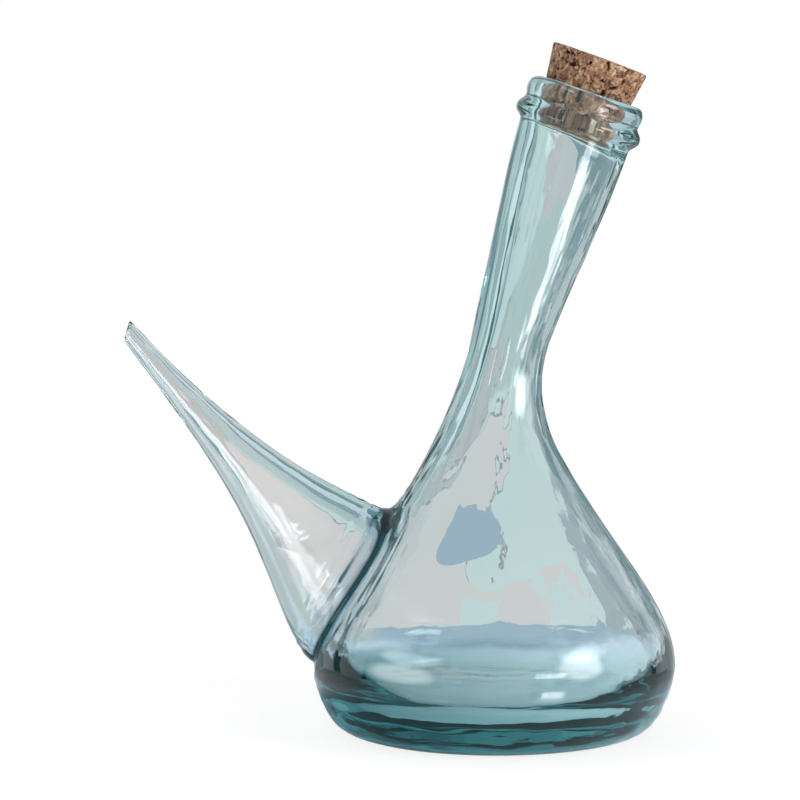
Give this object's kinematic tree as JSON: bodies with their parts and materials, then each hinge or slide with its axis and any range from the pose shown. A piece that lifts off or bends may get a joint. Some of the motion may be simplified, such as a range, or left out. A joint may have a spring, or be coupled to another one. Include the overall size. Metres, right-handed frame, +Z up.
{
  "type": "oil cruet",
  "caption": "Hand-blown glass oil cruet: squat bulb with a leaning flared neck, a long tapering pouring spout joined to its side, a wound glass collar and a tapered cork.",
  "frame": {"origin": "middle of the flat underside of the glass body", "axes": "+Z up out of the underside and the longest extent, +X towards the side the neck leans to, -X towards the spout's tip; the cruet is the same on both sides of Y = 0, and +Y is its shortest extent"},
  "size_m": [0.1577, 0.1046, 0.1978],
  "materials": {
    "body_glass": "thick recycled glass, pale sea green, darker green where it is thick",
    "spout_glass": "thinner recycled glass, nearly clear",
    "collar_glass": "fire-polished recycled glass",
    "cork": "agglomerated cork, granules and dark pits"
  },
  "bodies": {
    "vessel": {"glass_base": "body_glass", "glass_body": "body_glass", "glass_neck": "body_glass", "pouring_spout": "spout_glass", "collar_thread": "collar_glass"},
    "cork": {"cork_stopper": "cork"}
  },
  "joints": [
    {"name": "cork_pull", "type": "slide", "parent": "vessel", "child": "cork", "axis": [0.3437, 0, 0.9391], "range_m": [0, 0.045]}
  ]
}
